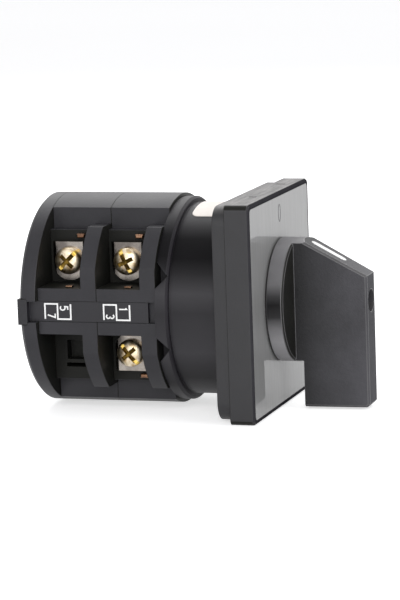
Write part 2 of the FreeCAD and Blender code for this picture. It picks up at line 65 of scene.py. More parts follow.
# Camera fitted to the photograph, in pixels, degrees and millimetres
LENS_PX = 3000.0
FRAME_LONG_PX = 600.0
SENSOR_MM = 36.0
CAMERA_AZ = -72.23
CAMERA_EL = 9.3
CAMERA_ROLL = -2.0
CAMERA_TX = -17.05
CAMERA_TY = -0.28
CAMERA_D = 623.5
BEZEL_FRONT_Y = -8.0
# What the camera can see, in metres from it
CLIP_START = 0.01
CLIP_END = 20.0

# Width of the rounded edges, in millimetres
SOFT_EDGES = {
    "knob": 0.17,
    "bezel": 0.15,
    "mounting_frame": 0.3,
    "front_housing": 0.15,
    "deck_front": 0.14,
    "deck_rear": 0.14,
    "rear_cover": 0.3,
    "label_strip_left": 0.12,
    "label_strip_right": 0.12,
    "legend_plate": 0.08,
}
SADDLE_EDGE = 0.12
PIP_EDGE = 0.2
HANDLE_SCREW_EDGE = 0.05
# Pieces whose rounded edges are painted pale, a painted highlight
HIGHLIT_EDGE_PIECES = ("knob",)
# Numbers of the terminals, as in the names of their nodes
TERMINALS = ("1", "2", "3", "4", "5", "6")

# Edges that are rounded bend by more than the first angle. Faces that differ by less than
# the second are one face. Shading is smooth up to the other angles. All are in degrees.
SHARP_DEG = 28.0
FLAT_DEG = 0.6
NODE_SMOOTH_DEG = 30.0
SCREW_SMOOTH_DEG = 32.0
PIECE_SMOOTH_DEG = 40.0
# Corners nearer than this many metres are one corner
WELD_M = 2e-6

# The slits in the bezel's edge and how far from its middle their walls lie, in millimetres
SLIT_Y = (-6.3, -3.6)
SLIT_REACH = (20.5, 22.45)

# The pockets round the terminal screws, in millimetres
POCKET_X_IN = 2.0
POCKET_X_OUT = 19.0
POCKET_Z_OUT = 15.7
POCKET_R_OUT = 21.5

# The knob's round disc lies behind this plane, and its grip in front of the disc runs
# between these two, in millimetres
DISC_FACE_Y = -12.3
GRIP_Y = (-13.4, -27.1)

# How much of a face's normal points one way, for a face that leans that way, that looks
# more that way than across it, that looks that way, and that looks straight that way
LEANING = 0.3
HALF_TURNED = 0.5
FACING = 0.7
SQUARE_ON = 0.9

# Terminal screws, in millimetres
HEAD_R = 2.85
HEAD_HEIGHT = 2.2
HEAD_RIM = 0.85
SHANK_R = 1.5
SHANK_LENGTH = 4.2
CROSS_HALF = 0.4
CROSS_REACH = 1.75
CROSS_DEPTH = 1.2
SLOT_HALF = 0.42
SLOT_DEPTH = 0.6
SEAT_LEVEL = 0.1
# Share of its depth that the cross loses from its middle to its ends
CROSS_RISE = 0.45
# The slot's lean on each terminal's screw, in degrees
SLOT_LEAN = {"1": 25, "2": 25, "3": 40, "4": 40, "5": -45, "6": -45}
# Corners in a ring of the screw's mesh, and rings from the head's middle to its edge
SCREW_SECTORS = 144
SCREW_RINGS = 50

# The slot and cross in the handle's screw, in millimetres
HANDLE_RECESS_R = 2.15
HANDLE_RECESS_DEPTH = 1.15

# Printed marks, in millimetres. On a strip the first number of a pair is how far behind
# the deck's front it lies, the second how far above the strip's middle.
LINE_HALF = 0.16
DIGIT_HALF = 0.14
DIGIT_HEIGHT = 1.9
MARK_TOP = 1.57
MARK_THICK = 0.03
STRIP_FACE_X = 20.2
BRACKET_Y = (5.7, 8.55, 11.3)
FIRST_DIGIT = (7.13, -0.72)
SECOND_DIGIT = (9.93, 0.85)
DIAL_R = 18.0
DIAL_HEIGHT = 3.7
DIAL_HALF = 0.09
# The dial's marks with the handle's turn at each, and the turn of a strip's digits, in degrees
DIAL_MARKS = (("0", 0.0), ("1", 60.0))
DIGIT_TURN = 90
# Share of its thickness by which a crossing stroke lies higher
CROSSING_LIFT = 0.2
# Half the width of most digits, for a digit one unit high
DIGIT_WIDE = 0.24
# At a corner a stroke grows at most to its width divided by this
MITRE_LIMIT = 0.5

# Noise patches to a metre, and the depth in metres of a plastic's grain and of a finer one
DRIFT_SCALE = 90.0
GRAIN_SCALE = 1400.0
METAL_GRAIN_SCALE = 2500.0
PLASTIC_GRAIN = 0.0002
FINE_GRAIN = 0.0001
# How far gloss drifts either side of a plastic's and a metal's roughness
PLASTIC_DRIFT = (0.05, 0.08)
METAL_DRIFT = (0.06, 0.1)

# Painted reflection bands on round walls. Each pair is a height, from 0 where the wall looks
# down over 0.5 where it looks sideways to 1 where it looks up, and the colour's share there.
DISC_REFLECTION_BANDS = (
    (0.1, 0.8), (0.22, 0.88), (0.32, 0.56), (0.38, 0.3), (0.43, 0.1), (0.53, 0.05),
    (0.6, 0.14), (0.69, 0.42), (0.85, 0.46), (0.95, 0.6),
)
BARREL_REFLECTION_BANDS = (
    (0.05, 0.75), (0.14, 0.45), (0.29, 1.0), (0.5, 0.6), (0.6, 0.87), (0.7, 0.4),
    (0.77, 0.2), (0.86, 0.23), (0.95, 0.7),
)
# Painted shade along the grip: the colour's share, from 0 at the disc to 1 at its front
GRIP_PAINTED_SHADE = ((0.0, 0.22), (0.25, 0.5), (0.5, 0.72), (1.0, 1.0))
# Colour of the pale streaks, scuffs with painted highlight, and how far up a face has to look
# before it shows them
STREAK_TONE = (0.17, 0.16, 0.155, 1.0)
STREAK_FROM = 0.6

# Lamps: name, place and size in metres, power in watts. They aim at one point.
LIGHTS = (
    ("top_light", (0.36, 0.05, 0.4), (0.6, 0.5), 2.05),
    ("side_light", (-0.6, -0.1, 0.22), (0.4, 0.5), 2.3),
    ("front_light", (-0.2, -0.6, 0.3), (0.4, 0.4), 1.4),
)
LIGHT_TARGET = (0.0, 0.005, 0.0)
WORLD_LEVEL = 0.4
WORLD_TINT = (0.95, 0.96, 1.0, 1.0)
WHITE = (1.0, 1.0, 1.0, 1.0)
# The floor's half side in metres, glow, and distance below the object in millimetres
FLOOR_HALF = 1.5
FLOOR_GLOW = 0.6
FLOOR_GAP = 0.02


# Node helpers

def new_material(name):
    mat = bpy.data.materials.new(name)
    mat.use_nodes = True
    tree = mat.node_tree
    shader = tree.nodes["Principled BSDF"]
    return mat, tree, shader


def place(tree, kind, **values):
    node = tree.nodes.new(kind)
    for key, value in values.items():
        if key in node.inputs:
            node.inputs[key].default_value = value
        else:
            setattr(node, key, value)
    return node


def add_object(name, data):
    item = bpy.data.objects.new(name, data)
    bpy.context.scene.collection.objects.link(item)
    return item


def object_coords(tree, scale=(1.0, 1.0, 1.0)):
    coords = place(tree, "ShaderNodeTexCoord")
    mapping = place(tree, "ShaderNodeMapping", Scale=scale)
    tree.links.new(coords.outputs["Object"], mapping.inputs["Vector"])
    return mapping.outputs["Vector"]


def noise(tree, vector, scale, detail=3.0, roughness=0.5):
    node = place(tree, "ShaderNodeTexNoise", Scale=scale, Detail=detail, Roughness=roughness)
    tree.links.new(vector, node.inputs["Vector"])
    return node.outputs["Fac"]


def ramp(tree, source, stops):
    node = place(tree, "ShaderNodeValToRGB")
    elements = node.color_ramp.elements
    while len(elements) < len(stops):
        elements.new(0.5)
    for element, (where, colour) in zip(elements, stops):
        element.position = where
        element.color = (*colour, 1.0)
    tree.links.new(source, node.inputs["Fac"])
    return node.outputs["Color"]


def two_tones(tree, source, dark, light, margin=0.3):
    """Runs from a dark to a light tone as the source goes from the margin to 1 less it."""
    return ramp(tree, source, [(margin, dark), (1 - margin, light)])


def spread(tree, source, low, high):
    node = place(tree, "ShaderNodeMapRange")
    node.inputs["To Min"].default_value = low
    node.inputs["To Max"].default_value = high
    tree.links.new(source, node.inputs["Value"])
    return node.outputs["Result"]


def bump(tree, shader, height, strength, distance):
    node = place(tree, "ShaderNodeBump", Strength=strength, Distance=distance)
    tree.links.new(height, node.inputs["Height"])
    tree.links.new(node.outputs["Normal"], shader.inputs["Normal"])


def split_axes(tree, vector):
    parts = place(tree, "ShaderNodeSeparateXYZ")
    tree.links.new(vector, parts.inputs["Vector"])
    return parts.outputs


def facing_axes(tree):
    """The three parts of the direction that a face looks in."""
    geometry = place(tree, "ShaderNodeNewGeometry")
    return split_axes(tree, geometry.outputs["Normal"])


def math_node(tree, operation, first, second):
    node = place(tree, "ShaderNodeMath", operation=operation)
    for source, socket in ((first, node.inputs[0]), (second, node.inputs[1])):
        if isinstance(source, float):
            socket.default_value = source
        else:
            tree.links.new(source, socket)
    return node.outputs[0]


def multiplied(tree, tone, share):
    mix = place(tree, "ShaderNodeMix", data_type="RGBA", blend_type="MULTIPLY")
    mix.inputs["Factor"].default_value = 1.0
    tree.links.new(tone, mix.inputs["A"])
    tree.links.new(share, mix.inputs["B"])
    return mix.outputs["Result"]


def share_ramp(tree, source, low, high, stops):
    """Grey shares laid out over a range of the source's value."""
    where = place(tree, "ShaderNodeMapRange")
    where.inputs["From Min"].default_value = low
    where.inputs["From Max"].default_value = high
    tree.links.new(source, where.inputs["Value"])
    return ramp(tree, where.outputs["Result"], [(at, (level,) * 3) for at, level in stops])


def drifting_tone(tree, slow, colour, low, high):
    """A colour that drifts between two shares of itself."""
    dark = tuple(c * low for c in colour)
    light = tuple(c * high for c in colour)
    return two_tones(tree, slow, dark, light)


def plastic_surface(tree, shader, vector, slow, rough, grain):
    """Drifting gloss and a fine grain for a moulded surface."""
    rough_value = spread(tree, slow, rough - PLASTIC_DRIFT[0], rough + PLASTIC_DRIFT[1])
    tree.links.new(rough_value, shader.inputs["Roughness"])
    fine = noise(tree, vector, GRAIN_SCALE, roughness=0.6)
    bump(tree, shader, fine, grain, PLASTIC_GRAIN)


def set_values(shader, values):
    for name, value in values.items():
        shader.inputs[name].default_value = value


# Materials

def moulded_plastic(name, colour, rough, grain=0.1, mottling=0.25, gloss=0.5, painted_shade=None):
    """Moulded plastic with a fine grain and slow drifts of colour and gloss, and with painted
    shade along the grip where a shade ramp is given.
    """
    mat, tree, shader = new_material(name)
    vector = object_coords(tree)
    slow = noise(tree, vector, DRIFT_SCALE, detail=4.0, roughness=0.6)
    tone = drifting_tone(tree, slow, colour, 1 - mottling, 1 + mottling)
    # Painted shade: the grip darkens towards the disc
    if painted_shade:
        depth = split_axes(tree, vector)["Y"]
        share = share_ramp(tree, depth, GRIP_Y[0] * MM, GRIP_Y[1] * MM, painted_shade)
        tone = multiplied(tree, tone, share)
    tree.links.new(tone, shader.inputs["Base Color"])
    shader.inputs["Specular IOR Level"].default_value = gloss
    plastic_surface(tree, shader, vector, slow, rough, grain)
    return mat


def reflection_painted_plastic(name, colour, rough, gloss, bands):
    """Plastic with painted reflection: soft light and dark bands in its colour and gloss, set by
    which way each face looks, as a pale floor and ceiling would reflect them.
    """
    mat, tree, shader = new_material(name)
    share = share_ramp(tree, facing_axes(tree)["Z"], low=-1.0, high=1.0, stops=bands)
    vector = object_coords(tree)
    slow = noise(tree, vector, DRIFT_SCALE, detail=4.0, roughness=0.6)
    tone = drifting_tone(tree, slow, colour, low=0.85, high=1.15)
    tree.links.new(multiplied(tree, tone, share), shader.inputs["Base Color"])
    # The gloss follows the same painted reflection bands
    level = math_node(tree, "MULTIPLY", share, gloss)
    tree.links.new(level, shader.inputs["Specular IOR Level"])
    plastic_surface(tree, shader, vector, slow, rough, grain=0.06)
    return mat


def streaked_highlight_plastic(name, colour, rough):
    """Moulded plastic with pale streaks on the faces that look up: scuffs, and a painted highlight
    on upward faces.
    """
    mat, tree, shader = new_material(name)
    vector = object_coords(tree)
    slow = noise(tree, vector, DRIFT_SCALE, detail=4.0, roughness=0.6)
    tone = drifting_tone(tree, slow, colour, low=0.85, high=1.2)
    # Pale streaks on upward faces: scuffs and painted highlight
    along_edge = object_coords(tree, scale=(0.25, 1.6, 1.0))
    streaks = noise(tree, along_edge, scale=420.0, detail=5.0, roughness=0.7)
    painted_highlight = ramp(tree, streaks, [(0.38, (0.1, 0.1, 0.1)), (0.68, (1.0, 1.0, 1.0))])
    upward = place(tree, "ShaderNodeMapRange")
    upward.inputs["From Min"].default_value = STREAK_FROM
    tree.links.new(facing_axes(tree)["Z"], upward.inputs["Value"])
    mix = place(tree, "ShaderNodeMix", data_type="RGBA")
    share = math_node(tree, "MULTIPLY", painted_highlight, upward.outputs["Result"])
    tree.links.new(share, mix.inputs["Factor"])
    tree.links.new(tone, mix.inputs["A"])
    mix.inputs["B"].default_value = STREAK_TONE
    tree.links.new(mix.outputs["Result"], shader.inputs["Base Color"])
    shader.inputs["Specular IOR Level"].default_value = 0.42
    plastic_surface(tree, shader, vector, slow, rough, grain=0.1)
    return mat


def painted_shade_plastic(name):
    """Dark, dull plastic: painted shade in the pockets, slits, joints and other faces that lie in
    shade.
    """
    mat, tree, shader = new_material(name)
    vector = object_coords(tree)
    slow = noise(tree, vector, scale=120.0)
    tone = two_tones(tree, slow, dark=(0.01, 0.01, 0.009), light=(0.015, 0.015, 0.013))
    tree.links.new(tone, shader.inputs["Base Color"])
    set_values(shader, {"Roughness": 0.4, "Specular IOR Level": 0.12})
    return mat


def metal(name, dark, light, rough, scale=300.0):
    """Bare metal with patches of two colours and a fine grain."""
    mat, tree, shader = new_material(name)
    vector = object_coords(tree)
    patches = noise(tree, vector, scale, detail=4.0, roughness=0.6)
    tone = two_tones(tree, patches, dark, light, margin=0.35)
    tree.links.new(tone, shader.inputs["Base Color"])
    shader.inputs["Metallic"].default_value = 1.0
    rough_value = spread(tree, patches, rough - METAL_DRIFT[0], rough + METAL_DRIFT[1])
    tree.links.new(rough_value, shader.inputs["Roughness"])
    fine = noise(tree, vector, METAL_GRAIN_SCALE, detail=2.0)
    bump(tree, shader, fine, strength=0.08, distance=FINE_GRAIN)
    return mat


def brushed_legend(name):
    """Silver sheet brushed up and down under a clear glossy surface."""
    mat, tree, shader = new_material(name)
    vector = object_coords(tree, scale=(1.0, 1.0, 0.02))
    grain = noise(tree, vector, scale=5200.0, roughness=0.65)
    dark = (0.23, 0.23, 0.229)
    tone = two_tones(tree, grain, dark, light=(0.3, 0.3, 0.297), margin=0.25)
    tree.links.new(tone, shader.inputs["Base Color"])
    rough_value = spread(tree, grain, low=0.45, high=0.6)
    tree.links.new(rough_value, shader.inputs["Roughness"])
    set_values(shader, {
        "Metallic": 0.4,
        "Specular IOR Level": 0.0,
        "Coat Weight": 0.48,
        "Coat Roughness": 0.03,
        "Coat IOR": 1.55,
    })
    return mat


def paper(name):
    """Matt paper with fibres."""
    mat, tree, shader = new_material(name)
    vector = object_coords(tree)
    fibre = noise(tree, vector, scale=800.0, detail=4.0, roughness=0.7)
    tone = two_tones(tree, fibre, dark=(0.86, 0.79, 0.73), light=(0.91, 0.85, 0.79))
    tree.links.new(tone, shader.inputs["Base Color"])
    shader.inputs["Roughness"].default_value = 0.55
    bump(tree, shader, fibre, strength=0.1, distance=FINE_GRAIN)
    return mat


def make_plastics():
    return {
        # The knob's grip carries painted shade, darker towards the disc
        "knob": moulded_plastic(
            "knob_plastic", (0.06, 0.0587, 0.0652), rough=0.54, grain=0.3, mottling=0.3,
            gloss=0.24, painted_shade=GRIP_PAINTED_SHADE,
        ),
        # The knob disc's rim: painted reflection bands
        "disc": reflection_painted_plastic(
            "knob_painted_reflection", (0.32, 0.314, 0.325), rough=0.42, gloss=0.3, bands=DISC_REFLECTION_BANDS,
        ),
        # The barrel: painted reflection bands
        "barrel": reflection_painted_plastic(
            "barrel_painted_reflection", (0.022, 0.0205, 0.0245), rough=0.5, gloss=0.4,
            bands=BARREL_REFLECTION_BANDS,
        ),
        "matt": moulded_plastic(
            "matt_front", (0.05, 0.0495, 0.055), rough=0.6, grain=0.3, mottling=0.3, gloss=0.06,
        ),
        "rim": moulded_plastic(
            "matt_rim", (0.036, 0.035, 0.039), rough=0.7, mottling=0.2, gloss=0.0,
        ),
        # Pale rounded edges and chamfers: painted highlight
        "edge": moulded_plastic(
            "painted_edge_highlight", (0.075, 0.073, 0.076), rough=0.34, grain=0.05, mottling=0.3,
        ),
        # Its upward faces carry pale streaks: scuffs and painted highlight
        "bezel": streaked_highlight_plastic("black_plastic", (0.014, 0.0135, 0.0155), rough=0.46),
        "dark": moulded_plastic(
            "dark_plastic", (0.014, 0.0125, 0.016), rough=0.55, mottling=0.2, gloss=0.25,
        ),
        "deck": moulded_plastic(
            "deck_plastic", (0.0225, 0.0218, 0.0255), rough=0.45, grain=0.15, mottling=0.2,
            gloss=0.28,
        ),
        "cam": moulded_plastic("cam_plastic", (0.72, 0.70, 0.64), rough=0.45, mottling=0.05),
        "strip": moulded_plastic(
            "strip_plastic", (0.0095, 0.0088, 0.012), rough=0.42, mottling=0.2, gloss=0.4,
        ),
        # Painted shade for pockets, slits and joints
        "pocket": painted_shade_plastic("painted_shade_plastic"),
        "white": moulded_plastic(
            "white_marking", (0.88, 0.88, 0.87), rough=0.5, grain=0.05, mottling=0.04,
        ),
        "ink": moulded_plastic(
            "dial_ink", (0.04, 0.04, 0.045), rough=0.5, grain=0.05, mottling=0.1,
        ),
    }


def make_metals():
    return {
        "legend": brushed_legend("brushed_legend"),
        "steel": metal("plated_steel", (0.36, 0.36, 0.36), (0.5, 0.5, 0.49), rough=0.3),
        # Painted shade for the handle screw's slot and cross
        "recess": metal("steel_recess_painted_shade", (0.05, 0.05, 0.05), (0.1, 0.1, 0.1), rough=0.5),
        "spring": metal("spring_steel", (0.36, 0.36, 0.35), (0.5, 0.5, 0.48), rough=0.35),
        "brass": metal("contact_brass", (0.6, 0.42, 0.2), (0.78, 0.56, 0.28), rough=0.35),
        "copper": metal("copper_plate", (0.15, 0.08, 0.05), (0.32, 0.19, 0.12), rough=0.3),
        "saddle": metal(
            "saddle_steel", (0.13, 0.115, 0.105), (0.33, 0.3, 0.27), rough=0.2, scale=260.0,
        ),
        "zinc": metal(
            "yellow_zinc", (0.38, 0.26, 0.12), (0.84, 0.74, 0.57), rough=0.36, scale=700.0,
        ),
        # Dark brown in the cross recess: painted shade
        "zinc_painted_shade": metal(
            "zinc_cross_painted_shade", (0.03, 0.018, 0.004), (0.16, 0.1, 0.02), rough=0.5, scale=900.0,
        ),
        "zinc_slot": metal(
            "zinc_in_slot", (0.6, 0.4, 0.08), (0.9, 0.66, 0.2), rough=0.35, scale=700.0,
        ),
    }


def make_materials():
    materials = {"paper": paper("label_paper")}
    materials.update(make_plastics())
    materials.update(make_metals())
    return materials


# Which material the CAD nodes of each slot get

SLOT_MATERIAL = {
    "knob_plastic": "knob",
    "black_plastic": "bezel",
    "dark_plastic": "dark",
    "deck_plastic": "deck",
    "cam_plastic": "cam",
    "strip_plastic": "strip",
    "white_marking": "white",
    "label_paper": "paper",
    "brushed_legend": "legend",
    "plated_steel": "steel",
    "spring_steel": "spring",
    "contact_brass": "brass",
    "copper_plate": "copper",
    "saddle_steel": "saddle",
    "yellow_zinc": "zinc",
}


def dress_nodes(materials):
    for entry in frame["record"]["subparts"]:
        node = frame["nodes"][entry["node"]]
        mat = materials[SLOT_MATERIAL[entry["material_slot"]]]
        node.data.materials.clear()
        node.data.materials.append(mat)
        smooth_by_angle(node.data, NODE_SMOOTH_DEG)


# Mesh helpers

def smooth_by_angle(mesh, degrees):
    """Smooths edges up to the angle, with large flat faces kept flat to their edges."""
    around = [[] for vertex in mesh.vertices]
    for face in mesh.polygons:
        face.use_smooth = True
        for index in face.vertices:
            around[index].append(face)
    limit = math.cos(math.radians(degrees))
    normals = []
    for face in mesh.polygons:
        for index in face.vertices:
            total = Vector()
            for other in around[index]:
                if face.normal.dot(other.normal) > limit:
                    total += other.normal * other.area
            normals.append(total.normalized() if total.length > 0 else face.normal)
    mesh.normals_split_custom_set(normals)


def body_name(node_name):
    for body, members in frame["record"]["behaviour"]["bodies"].items():
        if node_name in members:
            return body


def in_bezel_slits(edge):
    return all(SLIT_Y[0] < vert.co.y / MM < SLIT_Y[1] for vert in edge.verts)


def softened(node_name, width, painted_highlight=None):
    """A copy of a CAD node with its moulded edges rounded over, shown in its place. Where a
    highlight material is given, the rounded faces get it as a painted highlight.
    """
    source = frame["nodes"][node_name]
    mesh = bpy.data.meshes.new(node_name + "_moulded")
    bm = bmesh.new()
    bm.from_mesh(source.data)
    bmesh.ops.remove_doubles(bm, verts=bm.verts, dist=WELD_M)
    flat = math.radians(FLAT_DEG)
    bmesh.ops.dissolve_limit(bm, angle_limit=flat, verts=bm.verts, edges=bm.edges)
    limit = math.radians(SHARP_DEG)
    sharp = [e for e in bm.edges if e.is_manifold and e.calc_face_angle(0.0) > limit]
    if node_name == "bezel":
        sharp = [e for e in sharp if not in_bezel_slits(e)]
    bmesh.ops.bevel(
        bm, geom=sharp, offset=width * MM, offset_type="WIDTH", segments=2,
        profile=0.5, affect="EDGES", clamp_overlap=False, miter_outer="ARC",
        material=1 if painted_highlight else -1,
    )
    bm.to_mesh(mesh)
    bm.free()
    for mat in source.data.materials:
        mesh.materials.append(mat)
    if painted_highlight:
        mesh.materials.append(painted_highlight)
    smooth_by_angle(mesh, PIECE_SMOOTH_DEG)
    piece = add_object(node_name + "_moulded", mesh)
    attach(piece, body_name(node_name))
    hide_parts(node_name)
    return piece


def add_piece(name, mesh, material, body):
    mesh.materials.append(material)
    piece = add_object(name, mesh)
    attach(piece, body)
    return piece


# Faces of a piece that look different from the rest. The tests get a face's centre in
# millimetres and the direction it looks in.

def dress_faces(piece, material, picked):
    """Gives the faces that a test picks a material, unless they have one of their own."""
    piece.data.materials.append(material)
    index = len(piece.data.materials) - 1
    for face in piece.data.polygons:
        if face.material_index == 0 and picked(face.center / MM, face.normal):
            face.material_index = index


# Faces in the pockets round the screws, and faces that look forward or back, which get painted
# shade
def in_pocket(centre, normal):
    across = POCKET_X_IN < abs(centre.x) < POCKET_X_OUT
    deep = math.hypot(centre.x, centre.z) < POCKET_R_OUT
    inside = across and deep and abs(centre.z) < POCKET_Z_OUT
    return abs(normal.y) > LEANING or inside


def on_disc_rim(centre, normal):
    return centre.y > DISC_FACE_Y and abs(normal.y) < HALF_TURNED


def on_disc_face(centre, normal):
    return centre.y > DISC_FACE_Y and abs(normal.y) >= HALF_TURNED


def on_grip_front(centre, normal):
    return centre.y < DISC_FACE_Y and normal.y < -SQUARE_ON


def on_top_chamfer(centre, normal):
    return centre.y < DISC_FACE_Y and normal.z > LEANING and abs(normal.x) > LEANING


def on_slit_wall(centre, normal):
    reach = max(abs(centre.x), abs(centre.z))
    return SLIT_Y[0] <= centre.y <= SLIT_Y[1] and SLIT_REACH[0] < reach < SLIT_REACH[1]


def faces_outward(centre, normal):
    return abs(normal.y) < HALF_TURNED


def faces_forward(centre, normal):
    return normal.y < -FACING


def faces_backward(centre, normal):
    return normal.y > LEANING


def along_strip_edge(centre, normal):
    return abs(normal.z) > LEANING


# Looks of those faces, piece by piece. Where two tests pick a face, the first one holds.
FACE_LOOKS = {
    "knob": (
        # The disc's rim: painted reflection bands
        ("disc", on_disc_rim),
        # The disc's front and back: painted shade
        ("pocket", on_disc_face),
        ("matt", on_grip_front),
        # Chamfers that look up and sideways: painted highlight
        ("edge", on_top_chamfer),
    ),
    "bezel": (
        ("rim", faces_forward),
        # The slit walls and the bezel's back: painted shade
        ("pocket", on_slit_wall),
        ("pocket", faces_backward),
    ),
    # The barrel's outside: painted reflection bands
    "front_housing": (("barrel", faces_outward),),
    # The decks' pockets and their faces that look forward or back: painted shade
    "deck_front": (("pocket", in_pocket),),
    "deck_rear": (("pocket", in_pocket),),
    # The rear cover's front: painted shade
    "rear_cover": (("pocket", faces_forward),),
    # The strips' long edges: painted shade lines
    "label_strip_left": (("pocket", along_strip_edge),),
    "label_strip_right": (("pocket", along_strip_edge),),
}


def make_mouldings(materials):
    for name, width in SOFT_EDGES.items():
        # The knob's rounded edges get the pale material, a painted highlight
        painted_highlight = materials["edge"] if name in HIGHLIT_EDGE_PIECES else None
        piece = softened(name, width, painted_highlight)
        for look, picked in FACE_LOOKS.get(name, ()):
            dress_faces(piece, materials[look], picked)
    for number in TERMINALS:
        softened("saddle_" + number, SADDLE_EDGE)
        softened("terminal_pips_" + number, PIP_EDGE)


# Screws

def in_slot(x, y):
    return abs(y) < SLOT_HALF


def in_cross(x, y):
    short = min(abs(x), abs(y))
    return short < CROSS_HALF and max(abs(x), abs(y)) < CROSS_REACH


def head_height(x, y):
    """Height of the head's top over a point: a dome with a cross recess and a slot."""
    radius = math.hypot(x, y)
    dome = math.sqrt(max(0.0, 1 - (radius / HEAD_R) ** 2))
    height = HEAD_RIM + (HEAD_HEIGHT - HEAD_RIM) * dome
    if in_slot(x, y):
        height = min(height, HEAD_HEIGHT - SLOT_DEPTH)
    if in_cross(x, y):
        depth = CROSS_DEPTH * (1 - CROSS_RISE * radius / CROSS_REACH)
        height = min(height, HEAD_HEIGHT - depth)
    return height


def screw_tone(centre):
    """0 on the head, 1 in the cross, dark with painted shade, 2 in the slot beyond it."""
    if centre.z < SEAT_LEVEL:
        return 0
    if in_cross(centre.x, centre.y):
        return 1
    return 2 if in_slot(centre.x, centre.y) else 0


def screw_ring(bm, r, level=None):
    """A ring of corners at one level, or on the top of the head where none is given."""
    ring = []
    for k in range(SCREW_SECTORS):
        a = 2 * math.pi * k / SCREW_SECTORS
        x = r * math.cos(a)
        y = r * math.sin(a)
        z = head_height(x, y) if level is None else level
        ring.append(bm.verts.new((x, y, z)))
    return ring


def screw_mesh(name):
    """A pan-head screw with its head up from Z = 0 and its shank below."""
    bm = bmesh.new()
    rows = [screw_ring(bm, HEAD_R * i / SCREW_RINGS) for i in range(1, SCREW_RINGS + 1)]
    for r, level in ((HEAD_R, 0.0), (SHANK_R, 0.0), (SHANK_R, -SHANK_LENGTH)):
        rows.append(screw_ring(bm, r, level))
    centre = bm.verts.new((0.0, 0.0, head_height(0.0, 0.0)))
    for k in range(SCREW_SECTORS):
        bm.faces.new((centre, rows[0][k], rows[0][(k + 1) % SCREW_SECTORS]))
    for a, b in zip(rows, rows[1:]):
        for k in range(SCREW_SECTORS):
            j = (k + 1) % SCREW_SECTORS
            bm.faces.new((a[k], b[k], b[j], a[j]))
    bm.faces.new(rows[-1][::-1])
    for face in bm.faces:
        face.material_index = screw_tone(face.calc_center_median())
    bm.transform(Matrix.Scale(MM, 4))
    mesh = bpy.data.meshes.new(name)
    bm.to_mesh(mesh)
    bm.free()
    return mesh


def make_terminal_screws(materials):
    for number in TERMINALS:
        node = "terminal_screw_" + number
        low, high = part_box(node)
        side = -1 if low.x + high.x < 0 else 1
        top = low.x if side < 0 else high.x
        middle = (low + high) / 2
        seat = Vector((top - side * HEAD_HEIGHT * MM, middle.y, middle.z))
        out = Vector((side, 0, 0))
        up = Vector((0, 0, 1))
        turn = Matrix((up, out.cross(up), out)).transposed().to_4x4()
        lean = Matrix.Rotation(math.radians(SLOT_LEAN[number]), 4, "Z")
        mesh = screw_mesh(node + "_detailed")
        mesh.transform(Matrix.Translation(seat) @ turn @ lean)
        smooth_by_angle(mesh, SCREW_SMOOTH_DEG)
        # Head, cross with painted shade, and slot
        for tone in ("zinc", "zinc_painted_shade", "zinc_slot"):
            mesh.materials.append(materials[tone])
        piece = add_object(node + "_detailed", mesh)
        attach(piece, "base")
        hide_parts(node)


def make_handle_screw(materials):
    """A copy of the handle's screw with its slot and cross darkened by painted shade."""
    piece = softened("handle_screw", HANDLE_SCREW_EDGE)
    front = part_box("handle_screw")[0].y / MM

    def in_recess(centre, normal):
        within = math.hypot(centre.x, centre.z) < HANDLE_RECESS_R
        return within and front + HANDLE_SCREW_EDGE < centre.y < front + HANDLE_RECESS_DEPTH

    dress_faces(piece, materials["recess"], in_recess)


# Printed marks

def side_steps(points, i, closed):
    """The sideways direction at one point of a stroke, lengthened at corners."""
    last = len(points) - 1
    before = points[i - 1] if i > 0 else (points[last] if closed else None)
    after = points[i + 1] if i < last else (points[0] if closed else None)
    ways = []
    if before is not None:
        ways.append((points[i] - before).normalized())
    if after is not None:
        ways.append((after - points[i]).normalized())
    along = (ways[0] + ways[-1]).normalized()
    across = Vector((-along.y, along.x))
    lean = max(MITRE_LIMIT, across.dot(Vector((-ways[0].y, ways[0].x))))
    return across / lean


def ribbon(bm, path, half, thick, closed=False):
    """A stroke of even width and thickness laid along a path on the drawing plane."""
    points = [Vector(p) for p in path]
    rows = []
    for i, point in enumerate(points):
        step = side_steps(points, i, closed) * half
        left = point - step
        right = point + step
        corners = ((left, 0.0), (right, 0.0), (right, thick), (left, thick))
        rows.append([bm.verts.new((p.x, p.y, z)) for p, z in corners])
    pairs = list(zip(rows, rows[1:]))
    if closed:
        pairs.append((rows[-1], rows[0]))
    else:
        bm.faces.new(rows[0][::-1])
        bm.faces.new(rows[-1])
    for a, b in pairs:
        for i in range(4):
            j = (i + 1) % 4
            bm.faces.new((a[i], a[j], b[j], b[i]))


def bend_points(centre, radius_x, radius_y, start, end, steps):
    """Points along part of an ellipse, angles in degrees from the drawing's +X."""
    points = []
    for i in range(steps + 1):
        a = math.radians(start + (end - start) * i / steps)
        x = centre[0] + radius_x * math.cos(a)
        y = centre[1] + radius_y * math.sin(a)
        points.append((x, y))
    return points


